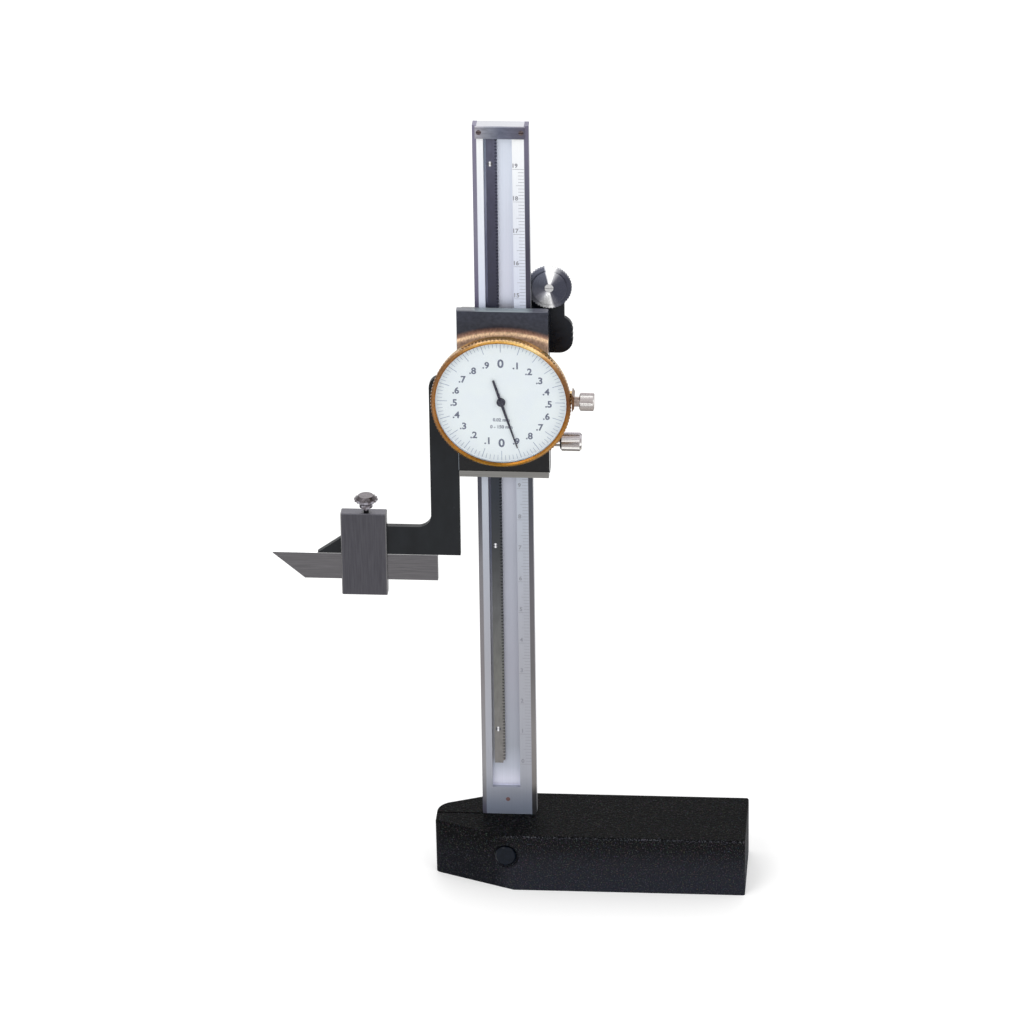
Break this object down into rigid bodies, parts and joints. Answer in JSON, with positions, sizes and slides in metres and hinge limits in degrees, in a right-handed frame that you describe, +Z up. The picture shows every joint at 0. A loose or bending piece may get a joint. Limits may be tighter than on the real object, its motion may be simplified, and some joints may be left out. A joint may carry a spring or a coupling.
{
  "type": "dial height gauge",
  "caption": "Table-top height gauge: a flat base carries an upright graduated column, and a sliding head with a dial moves a clamped scriber up and down it.",
  "frame": {"origin": "underside of the base, straight below the middle of the column's front face", "axes": "+Z up the column, +X towards the long end of the base, +Y away from the dial's reader"},
  "size_m": [0.138, 0.0274, 0.2377],
  "materials": {
    "crinkle_black": "black crinkle paint, ground underside",
    "ground_steel": "satin ground",
    "pin_red": "flush, reddish",
    "screw_black": "black, polished",
    "plug_blue": "glossy, blue-black",
    "bright_screws": "turned, bright",
    "stop_steel": "darkened",
    "strip_steel": "ground bare",
    "brass": "satin",
    "bezel_gold": "polished, gold coloured",
    "spring_steel": "bright",
    "dial_white": "satin white, black graduations",
    "ring_grey": "satin",
    "crystal": "clear, polished",
    "needle_black": "matt black",
    "polished_steel": "polished",
    "nickel": "nickel, knurled",
    "clamp_grey": "satin grey",
    "scriber_steel": "ground, hardened"
  },
  "bodies": {
    "base": {"base_casting": "crinkle_black", "column": "ground_steel", "column_pin": "pin_red", "pinch_screw": "screw_black", "pinch_screw_plug": "plug_blue", "rack": "ground_steel", "rack_screws": "bright_screws", "end_stop": "stop_steel", "end_stop_screws": "bright_screws"},
    "head": {"slider": "screw_black", "gib_strip": "brass", "head_plate": "screw_black", "head_plate_screws": "bright_screws", "reading_strip": "strip_steel", "reading_strip_screws": "bright_screws", "dial_case": "bezel_gold", "dial_case_screws": "bright_screws", "bezel_snap_ring": "spring_steel", "gear_bridge": "brass", "bridge_pillars": "brass", "bridge_screws": "bright_screws", "pinion_bush": "brass", "wheel_bracket": "screw_black", "wheel_bracket_screws": "bright_screws", "thumb_wheel_axle": "polished_steel"},
    "bezel": {"bezel_ring": "bezel_gold", "crystal": "crystal", "crystal_spacer": "ring_grey", "dial_face": "dial_white", "dial_keeper": "ring_grey"},
    "drive_arbor": {"rack_pinion_arbor": "spring_steel", "gear_hub": "brass", "drive_gear": "brass", "take_up_gear": "brass", "take_up_spring": "spring_steel"},
    "pointer": {"needle_arbor": "spring_steel", "needle_collet": "brass", "needle": "needle_black"},
    "thumb_wheel": {"thumb_wheel": "polished_steel"},
    "slide_lock": {"slide_lock_screw": "nickel"},
    "bezel_lock": {"bezel_lock_screw": "nickel"},
    "clamp": {"clamp_box": "clamp_grey"},
    "clamp_screw": {"clamp_screw": "nickel"},
    "scriber": {"scriber": "scriber_steel"}
  },
  "joints": [
    {"name": "head_slide", "type": "slide", "parent": "base", "child": "head", "axis": [0, 0, 1], "range_m": [-0.0765, 0.052]},
    {"name": "drive_turn", "type": "hinge", "parent": "head", "child": "drive_arbor", "pos_m": [0.00064, 0, 0.16345], "axis": [0, 1, 0], "range_deg": [-1565, 2315]},
    {"name": "needle_turn", "type": "hinge", "parent": "head", "child": "pointer", "pos_m": [-0.0003, 0, 0.1551], "axis": [0, 1, 0], "range_deg": [-13870, 9370]},
    {"name": "thumb_wheel_turn", "type": "hinge", "parent": "head", "child": "thumb_wheel", "pos_m": [0.0131, 0, 0.1865], "axis": [0, 1, 0], "range_deg": [-588, 866]},
    {"name": "bezel_turn", "type": "hinge", "parent": "head", "child": "bezel", "pos_m": [-0.0003, 0, 0.1551], "axis": [0, 1, 0], "continuous": true},
    {"name": "slide_lock_turn", "type": "hinge", "parent": "head", "child": "slide_lock", "pos_m": [0.016, 0.002, 0.1391], "axis": [1, 0, 0], "range_deg": [0, 720]},
    {"name": "bezel_lock_turn", "type": "hinge", "parent": "head", "child": "bezel_lock", "pos_m": [0.0225, -0.0059, 0.1555], "axis": [1, 0, 0], "range_deg": [0, 720]},
    {"name": "clamp_slide", "type": "slide", "parent": "head", "child": "clamp", "axis": [1, 0, 0], "range_m": [-0.001, 0.01]},
    {"name": "clamp_screw_turn", "type": "hinge", "parent": "clamp", "child": "clamp_screw", "pos_m": [-0.0404, 0.0003, 0.12], "axis": [0, 0, 1], "range_deg": [0, 720]},
    {"name": "scriber_slide", "type": "slide", "parent": "head", "child": "scriber", "axis": [1, 0, 0], "range_m": [-0.01, 0.01]}
  ],
  "couplings": [
    {"joint": "drive_turn", "follows": "head_slide", "rad_per_m": -523.6},
    {"joint": "needle_turn", "follows": "head_slide", "rad_per_m": 3141.6},
    {"joint": "thumb_wheel_turn", "follows": "head_slide", "rad_per_m": -196.08}
  ]
}
